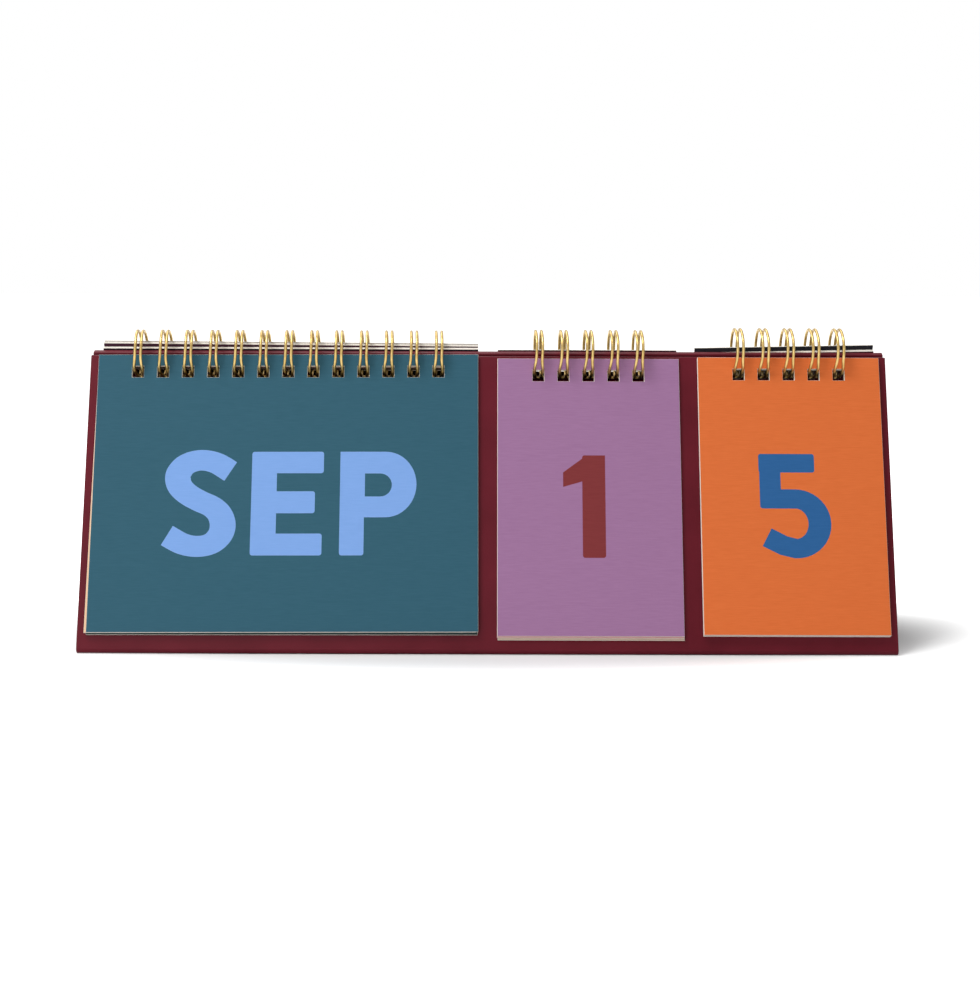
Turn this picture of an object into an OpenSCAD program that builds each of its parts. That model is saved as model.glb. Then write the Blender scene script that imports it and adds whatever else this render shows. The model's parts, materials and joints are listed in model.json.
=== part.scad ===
// Perpetual desk calendar: a tent stand of covered board carries three pads of cards on twin-loop wires.
// Millimetres, +Z up, front towards -Y. The origin is the middle of the stand's underside.

/* [Stand] */
// Length of the front panel, measured up its slope
front_len = 102.4; // [100:0.2:125]
// Height of the back panel's top edge above the front panel's
back_rise = 1.4; // [0:0.1:2.4]
// Lean of both panels from upright, in degrees
lean = 20; // [17:0.5:24]
// Thickness of the greyboard inside each panel
board_t = 2.0; // [1.6:0.1:2.6]
// Thickness of the covering skin and of the paper lining
skin_t = 0.3; // [0.2:0.05:0.5]
// Width of the covering's turn-ins on the inner faces
turn_in = 14; // [11:0.5:20]
// Open slit between the two top edges
ridge_gap = 0.8; // [0.4:0.1:1.4]
// Panel left beyond the centre of the outermost hole, at each end
end_margin = 16.47; // [15:0.1:30]
// Radius of the folds along the two bottom edges
fold_r = 1.4; // [0.8:0.1:2]
// Radius of the covered top rims
rim_r = 0.6; // [0.3:0.1:1]
// Width and height of the square holes through the panels
panel_hole = 4.4; // [4.2:0.1:5]

/* [Wire loops] */
// Distance between neighbouring double loops
pitch = 8.4667; // [7.6:0.1:9.4]
// Diameter of the wire
wire_d = 1.0; // [0.8:0.05:1.2]
// Room between the thickest turned pad, that of the months, and the inside of its loops
loop_room = 0.445; // [0.3:0.05:0.7]
// Distance between the two wires of one double loop
pair_gap = 2.2; // [1.8:0.1:2.4]
// Half of the angle left open at a loop's closure, in degrees
closure_half = 14; // [13:0.5:20]
// Loss of diameter in the wire's tight bends
bend_thinning = 0.04; // [0.02:0.01:0.1]
// Length by which the wire's full-size stretches run over the start of a tight bend
bend_lap = 0.1; // [0.05:0.01:0.12]
// Radius of the bend from a loop's root into the bridge to the next
root_bend = 1.0; // [0.7:0.1:1.3]
// Height of the loops' centres above the front panel's top edge
loop_rise = 0.15; // [0:0.05:0.3]
// Extra height of the loops that carry the units pad
units_rise = 0.4; // [0.2:0.1:0.5]
// Distance of the month loops' centre in front of the ridge slit
month_fwd = 0.4; // [0.2:0.1:0.6]
// Distance of the tens loops' centre in front of the ridge slit
tens_fwd = 0.8; // [0.6:0.1:1]
// Distance of the units loops' centre in front of the ridge slit
units_fwd = 1.1; // [0.9:0.1:1.3]

/* [Cards] */
// Length of every card, from the holed edge to the free edge
card_h = 95; // [80:0.5:98]
// Thickness of one card
card_t = 0.36; // [0.3:0.02:0.38]
// Width and height of the square holes punched in the cards
card_hole = 4.0; // [3.9:0.1:4.4]
// Strip of card above the holes
hole_edge = 4.0; // [3:0.1:5]
// Month card beyond the centre of its outer hole, at each side
month_side = 13.45; // [8:0.05:14]
// Digit card beyond the centre of its outer hole, at each side
digit_side = 13.77; // [8:0.05:15]
// Space between the wire and the top of the holes of the cards that hang on it
hang_clear = 0.3; // [0.2:0.05:0.4]
// The same space in the month pad's front cards, which stand a little higher
month_clear = 0.8; // [0.3:0.05:1.1]
// Space between the wire and the bottom of the holes of the month cards turned to the back
month_rear_clear = 0.15; // [0.1:0.05:0.3]
// The same space for the tens card turned to the back
tens_rear_clear = 0.75; // [0.4:0.05:1]
// The same space for the units cards turned to the back
units_rear_clear = 1.2; // [0.8:0.05:1.3]
// Step by which each of the outer month cards at the back rides up its wire
rear_step = 0.1; // [0.05:0.01:0.15]
// Gap under the last card turned to the back of each pad, which lies loose
loose_gap = 0.25; // [0.2:0.01:0.3]

/* [Hidden] */
$fn = 48;

// Sides of the wire's section, which is too fine to need a true circle
wire_sides = 8;

// Loops and empty hole places, from left to right
month_loops = 13;
digit_loops = 5;
free_places = 3;
last_place = month_loops + 2 * digit_loops + 2 * free_places - 1;

// Names of the cards of each pad, in the order in which they are turned
MONTHS = ["jan", "feb", "mar", "apr", "may", "jun", "jul", "aug", "sep", "oct", "nov", "dec"];
TENS = ["0", "1", "2", "3"];
UNITS = ["0", "1", "2", "3", "4", "5", "6", "7", "8", "9"];

// Cards already turned to the back of each pad
months_turned = 8;
tens_turned = 1;
units_turned = 5;
// Month cards at the back that lie flat on the panel, before the ones that ride up
months_flat = 4;

month_cards = [for (m = MONTHS) str("month_card_", m)];
tens_cards = [for (d = TENS) str("tens_card_", d)];
units_cards = [for (d = UNITS) str("units_card_", d)];

// Section of the stand, as [y, z] points measured from the middle of the ridge slit at desk height
sn = sin(lean);
cs = cos(lean);
panel_t = board_t + 2 * skin_t;
stand_w = last_place * pitch + 2 * end_margin;
front_top = [-(panel_t * cs + ridge_gap / 2), front_len * cs];
back_top = [panel_t * cs + ridge_gap / 2, front_top[1] + back_rise];
back_len = back_top[1] / cs;
front_foot = [front_top[0] - front_len * sn, 0];
back_foot = [back_top[0] + back_len * sn, 0];
ridge_y = -(front_foot[0] + back_foot[0]) / 2;

// Board ends stay clear of the folds, so that the covering can hinge there
fold_clear = 0.4;
board_foot = (panel_t + fold_clear + (skin_t + board_t) * sn) / cs;
base_inset = (skin_t + board_t) * sn / cs + skin_t / cs + fold_clear;

// Loop centres, measured like the section
month_centre = [-month_fwd, front_top[1] + loop_rise];
tens_centre = [-tens_fwd, front_top[1] + loop_rise];
units_centre = [-units_fwd, front_top[1] + loop_rise + units_rise];

// Middle of each pad across the stand
month_x = ((month_loops - 1) / 2 - last_place / 2) * pitch;
tens_x = (month_loops + free_places + (digit_loops - 1) / 2 - last_place / 2) * pitch;
units_x = (last_place - (digit_loops - 1) / 2 - last_place / 2) * pitch;
month_w = (month_loops - 1) * pitch + 2 * month_side;
digit_w = (digit_loops - 1) * pitch + 2 * digit_side;

// Distance below a panel's top edge at which a circle about a loop's centre crosses the plane
// that lies a height w above the panel's outer face
function crossing(w, r, along, up) =
    let (inward = along * cs - up * sn, down = -along * sn - up * cs)
    down + sqrt(r * r - (w + inward) * (w + inward));
function front_crossing(w, r, c) = crossing(w, r, c[0] - front_top[0], c[1] - front_top[1]);
function back_crossing(w, r, c) = crossing(w, r, back_top[0] - c[0], c[1] - back_top[1]);

// Height of the underside of card number i at the back, of those that have been turned
function rear_height(i, turned) = i * card_t + (i == turned - 1 ? loose_gap : 0);

// Radius of the wire's centre line, round the turned months
months_top = rear_height(months_turned - 1, months_turned) + card_t;
months_reach = months_top + (back_top[0] - month_centre[0]) * cs - (month_centre[1] - back_top[1]) * sn;
loop_r = months_reach + loop_room + wire_d / 2;

// Top edge of a card below its panel's top edge: the front cards and the last turned ones hang
// from the tops of their holes, and the others have risen on the wire
function front_hung(count, clear, c) =
    front_crossing(count * card_t, loop_r - wire_d / 2, c) - clear - hole_edge;
function rear_hung(turned, c) =
    back_crossing(rear_height(turned - 1, turned) + card_t, loop_r - wire_d / 2, c) - hang_clear - hole_edge;
function rear_raised(i, clear, c) =
    back_crossing(i * card_t, loop_r + wire_d / 2, c) + clear - hole_edge - card_hole;
function month_rear_drop(i) =
    i == months_turned - 1 ? rear_hung(months_turned, month_centre)
    : i < months_flat ? rear_raised(0, month_rear_clear, month_centre)
    : rear_raised(months_flat, month_rear_clear, month_centre) - (i - months_flat) * rear_step;
function units_rear_drop(i) =
    i == units_turned - 1 ? rear_hung(units_turned, units_centre)
    : rear_raised(0, units_rear_clear, units_centre);

// Middle of the holes below the panels' top edges, half way along the middle pad's wire through the panel
front_hole_s = (front_crossing(0, loop_r, tens_centre) + front_crossing(-panel_t, loop_r, tens_centre)) / 2;
back_hole_s = (back_crossing(0, loop_r, tens_centre) + back_crossing(-panel_t, loop_r, tens_centre)) / 2;

// Places of the loops of one pad about its middle
function places(n) = [for (i = [0 : n - 1]) (i - (n - 1) / 2) * pitch];

// Outline points of a corner b between a and c, rounded with radius r
function unit(v) = v / norm(v);
function corner(a, b, c, r, n = 5) =
    let (
        u = unit(a - b),
        v = unit(c - b),
        half = acos(u * v) / 2,
        o = b + unit(u + v) * r / sin(half),
        p = b + u * r / tan(half) - o,
        q = b + v * r / tan(half) - o,
        a0 = atan2(p[1], p[0]),
        turn = (atan2(q[1], q[0]) - a0 + 540) % 360 - 180
    )
    [for (i = [0 : n]) o + r * [cos(a0 + turn * i / n), sin(a0 + turn * i / n)]];

// Points on the inside of the stand at a depth below the outer faces
function front_inside(depth, s) = front_top + depth * [cs, -sn] + s * [-sn, -cs];
function back_inside(depth, s) = back_top + depth * [-cs, -sn] + s * [sn, -cs];
function front_floor(depth) = front_inside(depth, (front_top[1] - depth * sn - depth) / cs);
function back_floor(depth) = back_inside(depth, (back_top[1] - depth * sn - depth) / cs);

// Puts a section drawn in y and z across the width w of the stand
module across(w, points) {
    translate([-w / 2, ridge_y, 0])
        rotate([90, 0, 90])
            linear_extrude(w) polygon(points);
}

// Local frames: x along the stand, y into the panel, z up its slope, from its outer top edge
module on_front() {
    translate([0, ridge_y + front_top[0], front_top[1]])
        rotate([-lean, 0, 0]) children();
}

module on_back() {
    translate([0, ridge_y + back_top[0], back_top[1]])
        mirror([0, 1, 0])
            rotate([-lean, 0, 0]) children();
}

// Box centred in x, reaching from depth y0 over thickness t and from distance s0 to s1 down the slope
module slab(w, y0, t, s0, s1) {
    translate([-w / 2, y0, -s1]) cube([w, t, s1 - s0]);
}

// Row of square holes through everything from depth y0 over thickness t
module hole_row(n, x, size, y0, t, s) {
    for (p = places(n)) translate([x + p, 0, 0]) slab(size, y0, t, s - size / 2, s + size / 2);
}

// The cutters stand as far out of both faces of the panel as it is thick
module panel_holes(s) {
    hole_row(month_loops, month_x, panel_hole, -panel_t, 3 * panel_t, s);
    hole_row(digit_loops, tens_x, panel_hole, -panel_t, 3 * panel_t, s);
    hole_row(digit_loops, units_x, panel_hole, -panel_t, 3 * panel_t, s);
}

module front_core() {
    on_front() slab(stand_w - 2 * skin_t, skin_t, board_t, skin_t, front_len - board_foot);
}

module back_core() {
    on_back() slab(stand_w - 2 * skin_t, skin_t, board_t, skin_t, back_len - board_foot);
}

module base_core() {
    translate([0, ridge_y, 0])
        translate([skin_t - stand_w / 2, front_foot[0] + base_inset, skin_t])
            cube([stand_w - 2 * skin_t, back_foot[0] - front_foot[0] - 2 * base_inset, board_t]);
}

module lining_sheet() {
    lining_points = [
        front_inside(panel_t, turn_in),
        front_floor(panel_t),
        back_floor(panel_t),
        back_inside(panel_t, turn_in),
        back_inside(panel_t - skin_t, turn_in),
        back_floor(panel_t - skin_t),
        front_floor(panel_t - skin_t),
        front_inside(panel_t - skin_t, turn_in)
    ];
    across(stand_w - 2 * turn_in, lining_points);
}

module front_board() {
    color("tan") difference() {
        front_core();
        on_front() panel_holes(front_hole_s);
    }
}

module back_board() {
    color("tan") difference() {
        back_core();
        on_back() panel_holes(back_hole_s);
    }
}

module base_board() {
    color("tan") base_core();
}

// One sheet of burgundy covering: the whole section of the stand less the boards and the lining in it
module cover_wrap() {
    section = concat(
        corner(front_inside(panel_t, 0), front_top, front_foot, rim_r),
        corner(front_top, front_foot, back_foot, fold_r),
        corner(front_foot, back_foot, back_top, fold_r),
        corner(back_foot, back_top, back_inside(panel_t, 0), rim_r),
        corner(back_top, back_inside(panel_t, 0), back_floor(panel_t), rim_r),
        [back_floor(panel_t), front_floor(panel_t)],
        corner(front_floor(panel_t), front_inside(panel_t, 0), front_top, rim_r)
    );
    color([0.45, 0.18, 0.22]) difference() {
        across(stand_w, section);
        front_core();
        back_core();
        base_core();
        lining_sheet();
        on_front() panel_holes(front_hole_s);
        on_back() panel_holes(back_hole_s);
    }
}

module lining() {
    color("dimgray") lining_sheet();
}

// Local frame on a loop: y away from its centre, z along the wire, at an angle up from the back
module at_loop(centre, angle) {
    translate([0, ridge_y + centre[0], centre[1]])
        rotate([angle, 0, 0])
            translate([0, loop_r, 0]) children();
}

module wire_arc(radius, angle, d = wire_d) {
    rotate_extrude(angle = angle) translate([radius, 0]) circle(d = d, $fn = wire_sides);
}

// One pad's wire, formed from a single length: hairpins close round the ridge, their tips beside their
// roots. Each bend starts inside the end of the thicker stretch before it.
module pad_wire(n, x, centre) {
    root = closure_half - 90;
    tip = 270 - closure_half;
    lap_angle = bend_lap / loop_r * 180 / PI;
    bridge = pitch - pair_gap - 2 * root_bend + 2 * bend_lap;
    bend_d = wire_d - bend_thinning;
    color([0.79, 0.64, 0.36]) translate([x, 0, 0]) {
        for (p = places(n)) translate([p, 0, 0]) {
            for (side = [-1, 1])
                translate([side * pair_gap / 2, ridge_y + centre[0], centre[1]])
                    rotate([root - lap_angle, 0, 0])
                        rotate([90, 0, 90]) wire_arc(loop_r, tip - root + 2 * lap_angle);
            at_loop(centre, tip)
                rotate([90, 0, 0]) wire_arc(pair_gap / 2, 180, bend_d);
        }
        for (i = [0 : n - 2]) translate([places(n)[i] + pitch / 2, 0, 0])
            at_loop(centre, root) {
                translate([-bridge / 2, 0, -root_bend])
                    rotate([0, 90, 0]) cylinder(d = wire_d, h = bridge, $fn = wire_sides);
                for (turn = [0, 180]) rotate([0, 0, turn])
                    translate([bridge / 2 - bend_lap, 0, 0])
                        rotate([-90, 0, 0]) wire_arc(root_bend, 90, bend_d);
            }
    }
}

module month_wire() {
    pad_wire(month_loops, month_x, month_centre);
}

module tens_wire() {
    pad_wire(digit_loops, tens_x, tens_centre);
}

module units_wire() {
    pad_wire(digit_loops, units_x, units_centre);
}

// One punched card in a panel's frame: its underside at a height above the panel,
// its top edge a drop below the panel's
module card(n, w, x, height, drop) {
    translate([x, 0, 0]) difference() {
        slab(w, -height - card_t, card_t, drop, drop + card_h);
        hole_row(n, 0, card_hole, -height - 2 * card_t, 3 * card_t, drop + hole_edge + card_hole / 2);
    }
}

// Card number i of a pad: behind the stand once it is turned, else in front, the last one nearest the panel
module month_card(i) {
    total = len(MONTHS);
    color(i < months_turned ? "ivory" : [0.24, 0.39, 0.45])
        if (i < months_turned)
            on_back() card(month_loops, month_w, month_x, rear_height(i, months_turned), month_rear_drop(i));
        else
            on_front() card(month_loops, month_w, month_x, (total - 1 - i) * card_t,
                front_hung(total - months_turned, month_clear, month_centre));
}

module tens_card(i) {
    total = len(TENS);
    color(i < tens_turned ? "ivory" : [0.63, 0.47, 0.64])
        if (i < tens_turned)
            on_back() card(digit_loops, digit_w, tens_x, rear_height(i, tens_turned),
                rear_raised(0, tens_rear_clear, tens_centre));
        else
            on_front() card(digit_loops, digit_w, tens_x, (total - 1 - i) * card_t,
                front_hung(total - tens_turned, hang_clear, tens_centre));
}

module units_card(i) {
    total = len(UNITS);
    color(i < units_turned ? "ivory" : [0.85, 0.44, 0.24])
        if (i < units_turned)
            on_back() card(digit_loops, digit_w, units_x, rear_height(i, units_turned), units_rear_drop(i));
        else
            on_front() card(digit_loops, digit_w, units_x, (total - 1 - i) * card_t,
                front_hung(total - units_turned, hang_clear, units_centre));
}

front_board();
back_board();
base_board();
cover_wrap();
lining();
month_wire();
tens_wire();
units_wire();
for (i = [0 : len(MONTHS) - 1]) month_card(i);
for (i = [0 : len(TENS) - 1]) tens_card(i);
for (i = [0 : len(UNITS) - 1]) units_card(i);
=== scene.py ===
import json
import math
import random

import bmesh
import bpy
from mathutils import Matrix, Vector
from mathutils.geometry import delaunay_2d_cdt


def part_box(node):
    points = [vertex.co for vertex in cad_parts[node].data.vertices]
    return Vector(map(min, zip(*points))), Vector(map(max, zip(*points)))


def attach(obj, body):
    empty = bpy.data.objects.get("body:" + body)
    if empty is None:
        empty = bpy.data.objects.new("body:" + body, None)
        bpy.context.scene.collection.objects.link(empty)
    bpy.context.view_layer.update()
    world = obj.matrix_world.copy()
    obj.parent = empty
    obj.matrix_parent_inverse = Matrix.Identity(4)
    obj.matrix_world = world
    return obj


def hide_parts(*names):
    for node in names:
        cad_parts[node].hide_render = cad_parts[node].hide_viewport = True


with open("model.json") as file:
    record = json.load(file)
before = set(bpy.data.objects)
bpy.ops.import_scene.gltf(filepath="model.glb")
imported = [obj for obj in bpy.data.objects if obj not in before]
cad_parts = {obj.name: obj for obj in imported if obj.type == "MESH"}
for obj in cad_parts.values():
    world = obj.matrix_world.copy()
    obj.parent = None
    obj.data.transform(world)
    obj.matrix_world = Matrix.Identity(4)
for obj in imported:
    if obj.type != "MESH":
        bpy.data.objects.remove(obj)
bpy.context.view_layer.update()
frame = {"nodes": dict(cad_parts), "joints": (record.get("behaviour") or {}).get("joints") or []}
MM = 0.001

# Boards: three pieces of grey bookbinding board, front, back and base, punched along the ridge.
# The covering hides them, apart from the cut walls of the holes.


def node_material(name):
    """A new material and its parts: the material, its tree and its Principled shader."""
    material = bpy.data.materials.new(name)
    material.use_nodes = True
    tree = material.node_tree
    return material, tree, tree.nodes["Principled BSDF"]


def noise(tree, scale, detail=2.0, stretch=(1, 1, 1)):
    """Noise over the piece's own coordinates, in metres, stretched along its axes."""
    place = tree.nodes.new("ShaderNodeTexCoord")
    mapping = tree.nodes.new("ShaderNodeMapping")
    mapping.inputs["Scale"].default_value = stretch
    tree.links.new(place.outputs["Object"], mapping.inputs["Vector"])
    texture = tree.nodes.new("ShaderNodeTexNoise")
    texture.inputs["Scale"].default_value = scale
    texture.inputs["Detail"].default_value = detail
    tree.links.new(mapping.outputs["Vector"], texture.inputs["Vector"])
    return texture.outputs["Fac"]


def tint(tree, shader, pattern, dark, light, low=0.3, high=0.7):
    """Colours a surface from dark to light where a pattern goes from low to high."""
    ramp = tree.nodes.new("ShaderNodeValToRGB")
    ramp.color_ramp.elements[0].position = low
    ramp.color_ramp.elements[0].color = (*dark, 1)
    ramp.color_ramp.elements[1].position = high
    ramp.color_ramp.elements[1].color = (*light, 1)
    tree.links.new(pattern, ramp.inputs["Fac"])
    tree.links.new(ramp.outputs["Color"], shader.inputs["Base Color"])
    return ramp.outputs["Color"]


def relief(tree, shader, pattern, depth, strength=1.0, below=None):
    """Raises a surface by a pattern of this depth in metres, over another relief if one is given."""
    bump = tree.nodes.new("ShaderNodeBump")
    bump.inputs["Strength"].default_value = strength
    bump.inputs["Distance"].default_value = depth
    tree.links.new(pattern, bump.inputs["Height"])
    if below:
        tree.links.new(below, bump.inputs["Normal"])
    tree.links.new(bump.outputs["Normal"], shader.inputs["Normal"])
    return bump.outputs["Normal"]


greyboard, tree, shader = node_material("greyboard")
shader.inputs["Roughness"].default_value = 0.9
tint(tree, shader, noise(tree, 900), (0.10, 0.085, 0.07), (0.19, 0.165, 0.135))
relief(tree, shader, noise(tree, 2400), 0.1 * MM)
for board in ("front_board", "back_board", "base_board"):
    frame["nodes"][board].data.materials.clear()
    frame["nodes"][board].data.materials.append(greyboard)

# Covering: one sheet of burgundy bookbinding material with a fine pebbled grain, glued round the
# three boards. It folds along the bottom edges and is turned in over the rims.


def sharpen(mesh, degrees=32):
    """Shades a mesh smooth, apart from the edges whose faces turn by more than an angle."""
    build = bmesh.new()
    build.from_mesh(mesh)
    for face in build.faces:
        face.smooth = True
    for edge in build.edges:
        edge.smooth = len(edge.link_faces) == 2 and edge.calc_face_angle(0) < math.radians(degrees)
    build.to_mesh(mesh)
    build.free()


def new_piece(name, mesh, materials, body, slot, *nodes):
    """Puts a mesh into the scene as a piece that stands for CAD nodes and rides on a body."""
    piece = bpy.data.objects.new(name, mesh)
    bpy.context.scene.collection.objects.link(piece)
    for material in materials:
        mesh.materials.append(material)
    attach(piece, body)
    if nodes:
        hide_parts(*nodes)
    return piece


burgundy, tree, shader = node_material("burgundy_covering")
shader.inputs["Roughness"].default_value = 0.42
shader.inputs["Specular IOR Level"].default_value = 0.12
tint(tree, shader, noise(tree, 60, 5), (0.098, 0.0055, 0.0125), (0.126, 0.0085, 0.018))
grain = relief(tree, shader, noise(tree, 2600, 3), 0.06 * MM, 0.5)
relief(tree, shader, noise(tree, 90, 2), 0.4 * MM, 0.35, grain)

end_round = 0.28 * MM
seam = 0.002 * MM
flat_angle = math.radians(0.5)
corner_angle = math.radians(60)
covering_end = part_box("cover_wrap")[1].x
covering_mesh = frame["nodes"]["cover_wrap"].data.copy()
covering_mesh.materials.clear()
build = bmesh.new()
build.from_mesh(covering_mesh)
bmesh.ops.remove_doubles(build, verts=build.verts, dist=seam)
bmesh.ops.dissolve_limit(build, angle_limit=flat_angle, verts=build.verts, edges=build.edges)
at_ends = [
    edge
    for edge in build.edges
    if all(abs(abs(vert.co.x) - covering_end) < seam / 2 for vert in edge.verts)
    and edge.calc_face_angle(0) > corner_angle
]
bmesh.ops.bevel(
    build, geom=at_ends, offset=end_round, segments=3, profile=0.5, affect="EDGES", clamp_overlap=True
)
build.to_mesh(covering_mesh)
build.free()
sharpen(covering_mesh)
new_piece("covering", covering_mesh, [burgundy], "stand", "burgundy_cover", "cover_wrap")

# Lining: one sheet of wine-coloured paper, cut a little smaller than the covering and glued inside
# the tent, over the turned-in edges.
lining_paper, tree, shader = node_material("lining_paper")
shader.inputs["Roughness"].default_value = 0.8
tint(tree, shader, noise(tree, 700, 4), (0.060, 0.010, 0.015), (0.085, 0.015, 0.021))
relief(tree, shader, noise(tree, 1500, 3), 0.05 * MM)
frame["nodes"]["lining"].data.materials.clear()
frame["nodes"]["lining"].data.materials.append(lining_paper)

# Twin-loop wires: each pad's wire is bent from one length of gold-coloured wire into a comb of
# hairpins, which are closed round the ridge so that their tips lie beside their roots.
pitch = 8.4667 * MM
wire_d = 1.0 * MM
loop_r = 7.55 * MM
root_angle = -76
tip_angle = 256
root_bend = 1.0 * MM
half_gap = 0.98 * MM
tip_spread = 0.40 * MM
root_spread = 0.15 * MM
most_lean = 0.06 * MM
step_angle = 5
tip_steps = 10
bend_steps = 6
month_loops = 13
digit_loops = 5

gold, tree, shader = node_material("gold_wire")
shader.inputs["Metallic"].default_value = 1.0
shader.inputs["Roughness"].default_value = 0.30
tint(tree, shader, noise(tree, 500, 2), (0.42, 0.285, 0.095), (0.56, 0.405, 0.160))
relief(tree, shader, noise(tree, 1800, 2), 0.03 * MM, 0.5)


def bulge(angle, middle, spread):
    """1 at the middle angle, falling off smoothly to both sides."""
    return math.exp(-(((angle - middle) / spread) ** 2))


def loop_wire(name, node, loops, centre, first_sway, last_sway, crown, seed):
    """One pad's wire as a round curve through all of its hairpins, from its first root to its last.
    The sway is how far the hairpins lean to the right over the front, and the crown is how much they
    stand up over their circle, both in millimetres."""
    draw = random.Random(seed)
    points = []
    leans = [draw.uniform(-most_lean, most_lean) for loop in range(loops)]
    gaps = [draw.uniform(0.96, 1.0) for loop in range(loops)]

    def at(loop, side, angle, along=0.0):
        half = half_gap + tip_spread * bulge(angle, 218, 20) + root_spread * bulge(angle, -50, 30)
        sway = first_sway + (last_sway - first_sway) * loop / (loops - 1)
        shift = (sway * MM + leans[loop]) * bulge(angle, 150, 45)
        turn = math.radians(angle)
        reach = loop_r + crown * MM * bulge(angle, 90, 50)
        x = (loop - (loops - 1) / 2) * pitch + side * half * gaps[loop] + shift
        y = reach * math.cos(turn) - along * math.sin(turn)
        z = reach * math.sin(turn) + along * math.cos(turn)
        return centre + Vector((x, y, z))

    for loop in range(loops):
        climb = range(root_angle, tip_angle + 1, step_angle)
        points += [at(loop, -1, angle) for angle in climb]
        left, right = at(loop, -1, tip_angle), at(loop, 1, tip_angle)
        ahead = at(loop, 1, tip_angle, 1.0) - right
        middle, across = (left + right) / 2, (right - left) / 2
        for step in range(1, tip_steps):
            turn = math.pi * step / tip_steps
            points.append(middle - across * math.cos(turn) + ahead * across.length * math.sin(turn))
        points += [at(loop, 1, angle) for angle in reversed(climb)]
        if loop < loops - 1:
            start, end = at(loop, 1, root_angle), at(loop + 1, -1, root_angle)
            back = at(loop, 1, root_angle, -1.0) - start
            turns = [math.pi / 2 * step / bend_steps for step in range(1, bend_steps)]
            bend = [(root_bend * (1 - math.cos(turn)), back * root_bend * math.sin(turn)) for turn in turns]
            points += [start + Vector((out, 0, 0)) + down for out, down in bend]
            points += [end - Vector((out, 0, 0)) + down for out, down in reversed(bend)]
    curve = bpy.data.curves.new(name, "CURVE")
    curve.dimensions = "3D"
    curve.bevel_depth = wire_d / 2
    curve.bevel_resolution = 3
    curve.use_fill_caps = True
    spline = curve.splines.new("POLY")
    spline.points.add(len(points) - 1)
    for spline_point, place in zip(spline.points, points):
        spline_point.co = (*place, 1)
    spline.use_smooth = True
    return new_piece(name, curve, [gold], "stand", "gold_wire", node)


def axis_of(joint_name):
    """The middle of a joint's axis, which is the centre of its pad's loops."""
    return next(Vector(joint["pos_m"]) for joint in frame["joints"] if joint["name"] == joint_name)


month_centre = axis_of("month_front_flip")
tens_centre = axis_of("tens_front_flip")
units_centre = axis_of("units_front_flip")
loop_wire("month_loops", "month_wire", month_loops, month_centre, 0.42, 0.30, 0.3, 3)
loop_wire("tens_loops", "tens_wire", digit_loops, tens_centre, 0.42, 0.42, 0.7, 5)
loop_wire("units_loops", "units_wire", digit_loops, units_centre, 0.42, 0.42, 1.1, 8)

# Cards: punched from a linen-embossed card, printed over the whole face and then trimmed, so that
# the cut edges and the rims of the holes show the pale core, and the reverse is left plain.
# A panel's outer top edge, its outward normal and the way down its slope are the frame of its cards.
lean = math.radians(20)
sin_lean, cos_lean = math.sin(lean), math.cos(lean)
front_top = Vector((0, -3.0980, 96.2245)) * MM
back_top = Vector((0, 2.5884, 97.6245)) * MM
PANELS = {
    "front": (front_top, Vector((0, -cos_lean, sin_lean)), Vector((0, -sin_lean, -cos_lean))),
    "back": (back_top, Vector((0, cos_lean, sin_lean)), Vector((0, sin_lean, -cos_lean))),
}
card_h = 95 * MM
card_t = 0.36 * MM
card_hole = 4.0 * MM
hole_edge = 4.0 * MM
cut_rim = 0.06 * MM
cut_drop = 0.07 * MM
face_grid = 7 * MM


def linen(tree, shader, strength=0.28):
    """Fine threads both ways, as the embossing roller leaves them."""
    across = noise(tree, 1, 2, (220, 220, 3600))
    down = noise(tree, 1, 2, (3600, 220, 220))
    weft = relief(tree, shader, across, 0.05 * MM, strength)
    relief(tree, shader, down, 0.05 * MM, strength * 0.7, weft)
    return across


def printed(name, dark, light):
    """A printed face: its ink is a little thinner along the raised threads."""
    material, tree, shader = node_material(name)
    shader.inputs["Roughness"].default_value = 0.55
    shader.inputs["Specular IOR Level"].default_value = 0.15
    threads = linen(tree, shader)
    tint(tree, shader, threads, dark, light, 0.25, 0.75)
    return material


cut_edge, tree, shader = node_material("cut_edge")
shader.inputs["Roughness"].default_value = 0.85
tint(tree, shader, noise(tree, 1500, 2), (0.78, 0.72, 0.63), (0.88, 0.84, 0.77))
reverse, tree, shader = node_material("card_reverse")
shader.inputs["Roughness"].default_value = 0.7
tint(tree, shader, linen(tree, shader, 0.35), (0.74, 0.70, 0.62), (0.80, 0.77, 0.70), 0.2, 0.8)


def seat_of(node, side):
    """How far the top edge of a card in the frame lies below its panel's, and how high its outer face
    stands above the panel."""
    top = PANELS[side][0]
    low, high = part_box(node)
    rise = high.z - top.z
    reach = (top.y - low.y if side == "front" else high.y - top.y) - sin_lean * card_h
    return sin_lean * reach - cos_lean * rise, sin_lean * rise + cos_lean * reach


def box_loop(left, top, right, bottom):
    return [(left, top), (right, top), (right, bottom), (left, bottom)]


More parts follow.
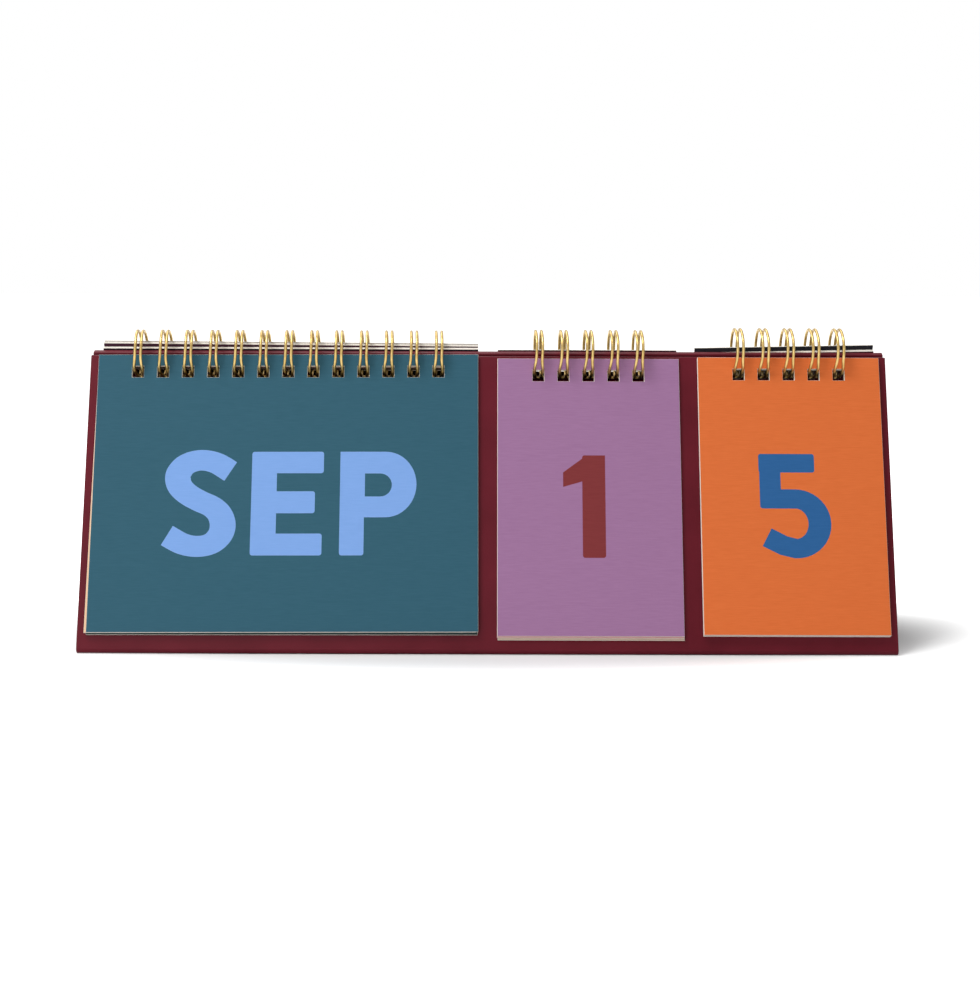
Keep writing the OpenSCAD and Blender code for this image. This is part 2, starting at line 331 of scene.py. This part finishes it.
def card(name, node, body, slot, side, face, print_shapes=(), ink=None, slip=(0, 0), skew=0.0, shear=0.0,
         longer=0.0, curl=0.0):
    """One punched card. Its print_shapes are outlines on its face in millimetres from its top left corner:
    (outline, True) is inked and (outline, False) is a counter left bare in the ink."""
    top, normal, down = PANELS[side]
    low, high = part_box(node)
    width = high.x - low.x
    middle = (low.x + high.x) / 2
    loops = month_loops if node.startswith("month") else digit_loops
    drop, height = seat_of(node, side)
    outlines = [("card", box_loop(-width / 2, 0, width / 2, card_h))]
    outlines.append(("flat", box_loop(cut_rim - width / 2, cut_rim, width / 2 - cut_rim, card_h - cut_rim)))
    for place in range(loops):
        x = (place - (loops - 1) / 2) * pitch
        for kind, grow in (("rim", cut_rim), ("hole", 0.0)):
            reach = card_hole / 2 + grow
            hole_top, hole_bottom = hole_edge - grow, hole_edge + card_hole + grow
            outlines.append((kind, box_loop(x - reach, hole_top, x + reach, hole_bottom)))
    for outline, inked in print_shapes:
        shape = [(u * MM - width / 2, v * MM) for u, v in outline]
        outlines.append(("ink" if inked else "counter", shape))
    points, loops_of = [], []
    for kind, loop in outlines:
        area = sum(a[0] * b[1] - b[0] * a[1] for a, b in zip(loop, loop[1:] + loop[:1]))
        loops_of.append(list(range(len(points), len(points) + len(loop))))
        points += [Vector(point) for point in (loop if area > 0 else reversed(loop))]
    columns, rows = int(width / face_grid), int(card_h / face_grid)
    for column in range(1, columns):
        for row in range(2, rows):
            points.append(Vector((column * width / columns - width / 2, row * card_h / rows)))
    flat, _, triangles, _, _, sources = delaunay_2d_cdt(points, [], loops_of, 1, 1e-7)
    kinds = [kind for kind, _ in outlines]

    def on_cut(u, v):
        """Whether a point lies on a cut edge, either the outline's or a hole's."""
        if min(u + width / 2, width / 2 - u, v, card_h - v) < seam:
            return True
        off = abs(u - round(u / pitch) * pitch)
        return off < card_hole / 2 + seam and hole_edge - seam < v < hole_edge + card_hole + seam

    def place(u, v, depth):
        v += longer * MM if v > card_h / 2 else 0
        bend = curl * MM * (max(v - hole_edge, 0) / card_h) ** 2
        turned_u = u - (skew + shear) * (v - hole_edge)
        turned_v = v + skew * u
        across = middle + turned_u + slip[0] * MM
        along = down * (drop + turned_v + slip[1] * MM)
        return top + Vector((across, 0, 0)) + along + normal * (height - depth + bend)

    build = bmesh.new()
    print_depth, plain_depth, inward = (0, card_t, 1) if side == "front" else (card_t, 0, -1)
    sunk = [inward * cut_drop if on_cut(p.x, p.y) else 0 for p in flat]
    face_verts = [build.verts.new(place(p.x, p.y, print_depth + depth)) for p, depth in zip(flat, sunk)]
    rear_verts = [build.verts.new(place(p.x, p.y, plain_depth)) for p in flat]
    for triangle, source in zip(triangles, sources):
        over = {kinds[i] for i in source}
        if "hole" in over:
            continue
        if "flat" not in over or "rim" in over:
            kind = 1
        elif "ink" in over and "counter" not in over:
            kind = 3
        else:
            kind = 0
        front_face = build.faces.new([face_verts[i] for i in triangle])
        front_face.material_index = kind
        rear_face = build.faces.new([rear_verts[i] for i in reversed(triangle)])
        rear_face.material_index = 2
    rims = [edge for edge in build.edges if len(edge.link_faces) == 1]
    pairs = dict(zip(face_verts, rear_verts))
    for edge in rims:
        if edge.verts[0] in pairs and edge.verts[1] in pairs:
            a, b = edge.verts
            wall = build.faces.new([a, b, pairs[b], pairs[a]])
            wall.material_index = 1
    bmesh.ops.recalc_face_normals(build, faces=build.faces)
    loose = [vert for vert in build.verts if not vert.link_faces]
    bmesh.ops.delete(build, geom=loose, context="VERTS")
    mesh = bpy.data.meshes.new(name)
    build.to_mesh(mesh)
    build.free()
    sharpen(mesh)
    return new_piece(name, mesh, [face, cut_edge, reverse, ink or face], body, slot, node)


# Month pad: the ninth month shows, three more wait under it, and eight are turned to the back.
# Its wide cards hang on the long wire by thirteen holes, and short capitals are printed on them.
teal = printed("teal_print", (0.024, 0.094, 0.136), (0.030, 0.108, 0.155))
sky_ink = printed("sky_ink", (0.195, 0.365, 0.745), (0.220, 0.398, 0.785))
peach = printed("peach_print", (0.78, 0.50, 0.30), (0.84, 0.57, 0.36))
brick_ink = printed("brick_ink", (0.185, 0.026, 0.028), (0.210, 0.032, 0.034))
# pine is painted shade: the near-black face of November, which hangs below September and stands for the
# shaded strip under the month pad.
pine = printed("pine_painted_shade", (0.016, 0.030, 0.030), (0.024, 0.042, 0.040))
sand = printed("sand_print", (0.55, 0.42, 0.33), (0.62, 0.49, 0.39))
# The turned cards' faces are near black and dark plum, so they show as dark strips above the ridge.
night = printed("near_black_face", (0.012, 0.012, 0.018), (0.020, 0.020, 0.028))
plum = printed("dark_plum_face", (0.050, 0.016, 0.030), (0.066, 0.022, 0.040))


def arc(cx, cy, rx, ry, start, end, parts=14):
    """Points of an ellipse from one angle to another, clockwise from the right as the card is read."""
    turns = [math.radians(start + (end - start) * i / parts) for i in range(parts + 1)]
    return [(cx + rx * math.cos(t), cy + ry * math.sin(t)) for t in turns]


def bar(left, top, right, bottom, r=0.8):
    """A bar with softly rounded corners."""
    return (
        arc(right - r, bottom - r, r, r, 0, 90, 4)
        + arc(left + r, bottom - r, r, r, 90, 180, 4)
        + arc(left + r, top + r, r, r, 180, 270, 4)
        + arc(right - r, top + r, r, r, 270, 360, 4)
    )


def smooth_line(points, parts=6):
    """A smooth curve through given points."""
    ends = [points[0]] + list(points) + [points[-1]]
    line = []
    for p0, p1, p2, p3 in zip(ends, ends[1:], ends[2:], ends[3:]):
        for i in range(parts):
            t = i / parts
            weights = (2 * t**2 - t - t**3, 2 - 5 * t**2 + 3 * t**3, t + 4 * t**2 - 3 * t**3, t**3 - t**2)
            pairs = list(zip(weights, (p0, p1, p2, p3)))
            line.append(tuple(sum(weight * point[axis] for weight, point in pairs) / 2 for axis in (0, 1)))
    return line + [points[-1]]


def stroke(line, across_w, down_w):
    """The outline of a pen stroke along a line: across_w is its width where the line runs down the card,
    and down_w where it runs across."""
    left, right = [], []
    for i, (x, y) in enumerate(line):
        (ax, ay), (bx, by) = line[max(i - 1, 0)], line[min(i + 1, len(line) - 1)]
        length = math.hypot(bx - ax, by - ay)
        tx, ty = (bx - ax) / length, (by - ay) / length
        half = math.hypot(across_w * ty, down_w * tx) / 2
        left.append((x - ty * half, y + tx * half))
        right.append((x + ty * half, y - tx * half))
    return left + right[::-1]


def letter_s(x, y):
    spine = [(22.4, 7.4), (17.5, 4.5), (12.5, 3.5), (8.0, 4.7), (5.4, 7.4), (4.9, 10.1)]
    spine += [(6.0, 12.9), (8.7, 15.4), (12.4, 17.5), (16.4, 19.4), (19.1, 22.0), (20.3, 25.6)]
    spine += [(19.4, 29.2), (16.4, 32.0), (12.0, 32.9), (7.1, 32.0), (1.9, 29.2)]
    return [(stroke([(x + u, y + v) for u, v in smooth_line(spine)], 8.6, 7.1), True)]


def letter_e(x, y):
    rows = [(0.6, 8.0, 24.0), (14.2, 21.7, 21.2), (28.6, 36.0, 23.7)]
    return [(bar(x, y + 0.6, x + 8.4, y + 36.0), True)] + [
        (bar(x, y + top, x + right, y + bottom), True) for top, bottom, right in rows
    ]


def letter_p(x, y):
    bowl = [(x, y + 0.6)] + arc(x + 15.2, y + 11.85, 10.3, 11.25, -90, 90, 22) + [(x, y + 23.1)]
    counter = [(x + 8.3, y + 8.1)] + arc(x + 13.4, y + 12.05, 3.9, 3.95, -90, 90, 14) + [(x + 8.3, y + 16.0)]
    return [(bar(x, y + 0.6, x + 8.1, y + 36.0), True), (bowl, True), (counter, False)]


def letter_o(x, y):
    outside = arc(x + 15.0, y + 18.3, 15.0, 18.3, 0, 354, 40)
    return [(outside, True), (arc(x + 15.0, y + 18.3, 6.9, 10.6, 0, 354, 32), False)]


def letter_c(x, y):
    return [(stroke(arc(x + 15.0, y + 18.3, 11.0, 14.7, -48, -312, 36), 8.2, 7.4), True)]


def letter_t(x, y):
    return [(bar(x, y + 0.6, x + 25.0, y + 8.0), True), (bar(x + 8.4, y + 0.6, x + 16.6, y + 36.0), True)]


card("month_9", "month_card_sep", "month_front_card", "teal_card", "front", teal,
     letter_s(23.4, 33.4) + letter_e(52.9, 33.4) + letter_p(82.4, 33.4), sky_ink, skew=-0.004, curl=0.5)
card("month_10", "month_card_oct", "stand", "waiting_card", "front", peach,
     letter_o(22.4, 33.4) + letter_c(54.6, 33.4) + letter_t(82.6, 33.4), brick_ink,
     skew=-0.004, shear=0.009, longer=0.05, curl=0.4)
# November is a real waiting card, but its near-black pine face and the 0.75 mm it hangs below September are
# painted shade for the shaded card edges under the pad.
for name, node, face, skew, shear, longer, curl in (
    ("month_11", "month_card_nov", pine, -0.002, 0.0, 0.75, 0.2),
    ("month_12", "month_card_dec", sand, 0.0, 0.0, 0.2, 0.1),
):
    card(name, node, "stand", "waiting_card", "front", face, skew=skew, shear=shear, longer=longer, curl=curl)
for number, node in enumerate(("jan", "feb", "mar", "apr", "may", "jun", "jul", "aug"), 1):
    body = "month_turned_card" if node == "aug" else "stand"
    face, skew = (night, 0.0) if number < 5 else (plum, 0.006)
    card("month_%d" % number, "month_card_" + node, body, "turned_card", "back", face, skew=skew)

# Tens pad: one ten shows, two cards wait under it, and nought is turned to the back. Its narrow
# cards hang on the middle wire by five holes.
mauve = printed("mauve_print", (0.315, 0.155, 0.300), (0.350, 0.178, 0.335))
blush = printed("blush_print", (0.62, 0.33, 0.33), (0.70, 0.39, 0.38))
plum_ink = printed("plum_ink", (0.100, 0.020, 0.050), (0.125, 0.028, 0.062))


def digit_1(x, y):
    flag = [(x, y + 5.9), (x + 7.9, y), (x + 14.1, y), (x + 14.1, y + 9.0), (x + 6.4, y + 9.0), (x, y + 10.9)]
    return [(bar(x + 6.4, y, x + 14.1, y + 35.0), True), (flag, True)]


def digit_2(x, y):
    spine = [(2.4, 11.4), (4.6, 6.2), (9.6, 3.4), (14.4, 5.4), (15.8, 10.2)]
    spine += [(14.0, 15.4), (9.6, 21.4), (4.6, 28.4), (3.6, 31.6)]
    return [
        (stroke([(x + u, y + v) for u, v in smooth_line(spine)], 7.4, 6.8), True),
        (bar(x, y + 28.4, x + 19.6, y + 35.0), True),
    ]


card("ten_1", "tens_card_1", "tens_front_card", "mauve_card", "front", mauve,
     digit_1(21.9, 33.8), brick_ink, curl=0.4)
card("ten_2", "tens_card_2", "stand", "waiting_card", "front", blush, digit_2(20.6, 33.8), plum_ink,
     slip=(-0.1, 0), longer=0.5, curl=0.2)
card("ten_3", "tens_card_3", "stand", "waiting_card", "front", sand, slip=(0.1, 0), longer=1.2, curl=0.1)
card("ten_0", "tens_card_0", "tens_turned_card", "turned_card", "back", plum)

# Units pad: the five shows, four cards wait under it, and five are turned to the back. Its cards
# are punched as the tens are, and the pile at the back stands a little askew on its wire.
orange = printed("orange_print", (0.690, 0.148, 0.034), (0.740, 0.168, 0.042))
blue_ink = printed("blue_ink", (0.020, 0.108, 0.290), (0.026, 0.122, 0.320))
pine_ink = printed("pine_ink", (0.020, 0.075, 0.065), (0.028, 0.092, 0.080))


def digit_5(x, y):
    bowl = [(x + 1.6, y + 15.45), (x + 11.6, y + 15.45)] + arc(x + 11.8, y + 23.9, 8.1, 8.45, -90, 90, 22)
    bowl += [(x + 7.6, y + 31.3), (x + 2.2, y + 28.5)]
    return [
        (bar(x, y, x + 18.7, y + 6.4), True),
        (bar(x + 0.2, y, x + 7.3, y + 18.7), True),
        (stroke(bowl, 7.6, 6.6), True),
    ]


def digit_6(x, y):
    back = [(15.4, 2.6), (10.6, 5.0), (6.4, 10.2), (4.0, 17.0), (3.8, 24.0)]
    return [
        (stroke([(x + u, y + v) for u, v in smooth_line(back)], 7.4, 6.8), True),
        (arc(x + 10.4, y + 23.8, 10.4, 11.4, 0, 354, 36), True),
        (arc(x + 10.4, y + 24.0, 3.4, 4.6, 0, 345, 24), False),
    ]


card("unit_5", "units_card_5", "units_front_card", "orange_card", "front", orange,
     digit_5(19.5, 33.7), blue_ink, curl=0.4)
card("unit_6", "units_card_6", "stand", "waiting_card", "front", sand, digit_6(19.6, 33.7), pine_ink,
     longer=0.15, curl=0.15)
for number, face, longer in ((7, blush, 0.0), (8, peach, 0.1), (9, mauve, 0.2)):
    card("unit_%d" % number, "units_card_%d" % number, "stand", "waiting_card", "front", face, longer=longer,
         curl=0.05 * (9 - number))
for number in range(5):
    body = "units_turned_card" if number == 4 else "stand"
    slip = (0, 0) if number == 4 else (0, 0.7)
    card("unit_%d" % number, "units_card_%d" % number, body, "turned_card", "back", night,
         slip=slip, skew=-0.0215)

# Floor: a plain pale surface that runs on out of sight. It is lit up to white away from the stand,
# as the camera and glossy surfaces see it, and keeps the stand's soft shadow near it.
floor_mesh = bpy.data.meshes.new("floor")
reach = 6.0
corners = [(-reach, -reach, 0), (reach, -reach, 0), (reach, reach, 0), (-reach, reach, 0)]
floor_mesh.from_pydata(corners, [], [(0, 1, 2, 3)])
floor = bpy.data.objects.new("floor", floor_mesh)
bpy.context.scene.collection.objects.link(floor)
floor_material, tree, shader = node_material("pale_floor")
shader.inputs["Base Color"].default_value = (0.80, 0.80, 0.80, 1)
shader.inputs["Roughness"].default_value = 0.9
shader.inputs["Specular IOR Level"].default_value = 0.1
seen = tree.nodes.new("ShaderNodeLightPath")
either = tree.nodes.new("ShaderNodeMath")
either.operation = "MAXIMUM"
tree.links.new(seen.outputs["Is Camera Ray"], either.inputs[0])
tree.links.new(seen.outputs["Is Glossy Ray"], either.inputs[1])
spot = tree.nodes.new("ShaderNodeTexCoord")
oval = tree.nodes.new("ShaderNodeMapping")
oval.inputs["Scale"].default_value = (0.4, 1, 1)
away = tree.nodes.new("ShaderNodeVectorMath")
away.operation = "LENGTH"
tree.links.new(spot.outputs["Object"], oval.inputs["Vector"])
tree.links.new(oval.outputs["Vector"], away.inputs[0])
fade = tree.nodes.new("ShaderNodeMapRange")
fade.interpolation_type = "SMOOTHSTEP"
fade.inputs["From Min"].default_value = 0.045
fade.inputs["From Max"].default_value = 0.095
fade.inputs["To Min"].default_value = 0.0
fade.inputs["To Max"].default_value = 1.0
tree.links.new(away.outputs["Value"], fade.inputs["Value"])
lift = tree.nodes.new("ShaderNodeMath")
lift.operation = "MULTIPLY"
tree.links.new(fade.outputs["Result"], lift.inputs[1])
tree.links.new(either.outputs[0], lift.inputs[0])
shader.inputs["Emission Color"].default_value = (1, 1, 1, 1)
tree.links.new(lift.outputs[0], shader.inputs["Emission Strength"])
floor_mesh.materials.append(floor_material)

# Studio light: a soft lamp high at the left, a weaker one behind, a broad one in front, and a pale
# room that shows as white behind the stand.
world = bpy.data.worlds.new("studio")
bpy.context.scene.world = world
world.use_nodes = True
tree = world.node_tree
background = tree.nodes["Background"]
background.inputs["Color"].default_value = (1, 1, 1, 1)
seen = tree.nodes.new("ShaderNodeLightPath")
shown = seen.outputs["Is Camera Ray"]
for ray in ("Is Glossy Ray", "Is Transmission Ray"):
    either = tree.nodes.new("ShaderNodeMath")
    either.operation = "MAXIMUM"
    tree.links.new(shown, either.inputs[0])
    tree.links.new(seen.outputs[ray], either.inputs[1])
    shown = either.outputs[0]
strength = tree.nodes.new("ShaderNodeMapRange")
strength.inputs["To Min"].default_value = 0.3
strength.inputs["To Max"].default_value = 1.0
tree.links.new(shown, strength.inputs["Value"])
tree.links.new(strength.outputs["Result"], background.inputs["Strength"])


def soft_lamp(name, place, size, power):
    lamp = bpy.data.lights.new(name, "AREA")
    lamp.shape = "RECTANGLE"
    lamp.size, lamp.size_y = size
    lamp.energy = power
    holder = bpy.data.objects.new(name, lamp)
    holder.location = place
    holder.rotation_euler = (Vector((0, 0, 0.05)) - Vector(place)).to_track_quat("-Z", "Y").to_euler()
    bpy.context.scene.collection.objects.link(holder)


soft_lamp("key_lamp", (-0.42, -0.28, 1.10), (0.45, 0.45), 9.2)
soft_lamp("back_lamp", (-0.22, 0.42, 0.85), (0.6, 0.6), 3.0)
soft_lamp("fill_lamp", (-0.5, -1.0, 0.35), (0.9, 0.6), 2.8)

# Camera: a little above the stand and straight in front of its middle, as in the photograph. It
# looks at a point inside the tent, halfway up.
distance = 0.6374
rise = math.radians(7.12)
swing = math.radians(-0.176)
roll = math.radians(-0.2)
aim = Vector((0.43, -0.25, 49.7)) * MM
camera_data = bpy.data.cameras.new("camera")
camera_data.sensor_width = 36
camera_data.lens = 67.85
camera = bpy.data.objects.new("camera", camera_data)
bpy.context.scene.collection.objects.link(camera)
sight = Vector((math.sin(swing), -math.cos(swing), math.tan(rise))) * math.cos(rise)
camera.location = aim + sight * distance
camera.rotation_euler = (math.radians(90) - rise, roll, swing)
bpy.context.scene.camera = camera
bpy.context.scene.view_settings.view_transform = "Standard"
